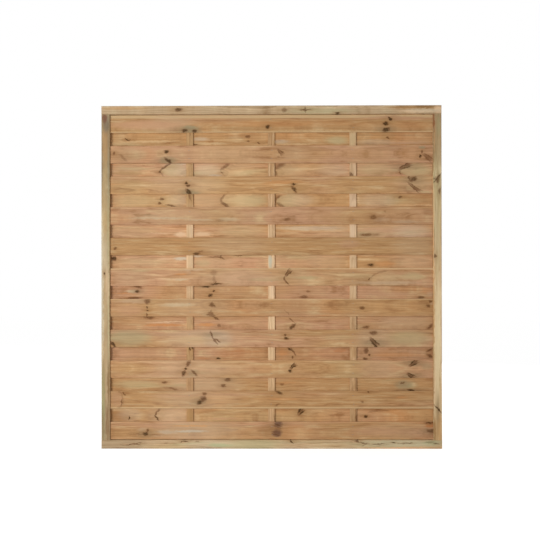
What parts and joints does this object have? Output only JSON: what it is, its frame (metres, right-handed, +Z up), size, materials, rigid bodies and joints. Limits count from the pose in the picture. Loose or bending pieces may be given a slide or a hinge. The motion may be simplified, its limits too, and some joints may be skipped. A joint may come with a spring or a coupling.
{
  "type": "slatted fence panel",
  "caption": "Square timber fence panel: a grooved frame holds two staggered layers of level slats on upright battens, so it screens from both sides.",
  "frame": {"origin": "on the ground line, under the middle of the bottom rail, at mid depth", "axes": "+Z up along the stiles, +X along the rails to the right as seen from the front, -Y out of the front"},
  "size_m": [1.785, 0.045, 1.8],
  "materials": {
    "slat_wood": "planed softwood, pressure treated, matt",
    "frame_wood": "planed softwood, pressure treated, matt, paler and greener than the slats",
    "batten_wood": "planed softwood, pressure treated, matt",
    "zinc": "dull zinc plate"
  },
  "bodies": {
    "root": {"top_rail": "frame_wood", "bottom_rail": "frame_wood", "left_stile": "frame_wood", "right_stile": "frame_wood", "front_slat_01": "slat_wood", "front_slat_02": "slat_wood", "front_slat_03": "slat_wood", "front_slat_04": "slat_wood", "front_slat_05": "slat_wood", "front_slat_06": "slat_wood", "front_slat_07": "slat_wood", "front_slat_08": "slat_wood", "front_slat_09": "slat_wood", "front_slat_10": "slat_wood", "front_slat_11": "slat_wood", "rear_slat_01": "slat_wood", "rear_slat_02": "slat_wood", "rear_slat_03": "slat_wood", "rear_slat_04": "slat_wood", "rear_slat_05": "slat_wood", "rear_slat_06": "slat_wood", "rear_slat_07": "slat_wood", "rear_slat_08": "slat_wood", "rear_slat_09": "slat_wood", "rear_slat_10": "slat_wood", "batten_1": "batten_wood", "batten_2": "batten_wood", "batten_3": "batten_wood", "left_spacer": "batten_wood", "right_spacer": "batten_wood", "corner_screws": "zinc"}
  },
  "joints": []
}
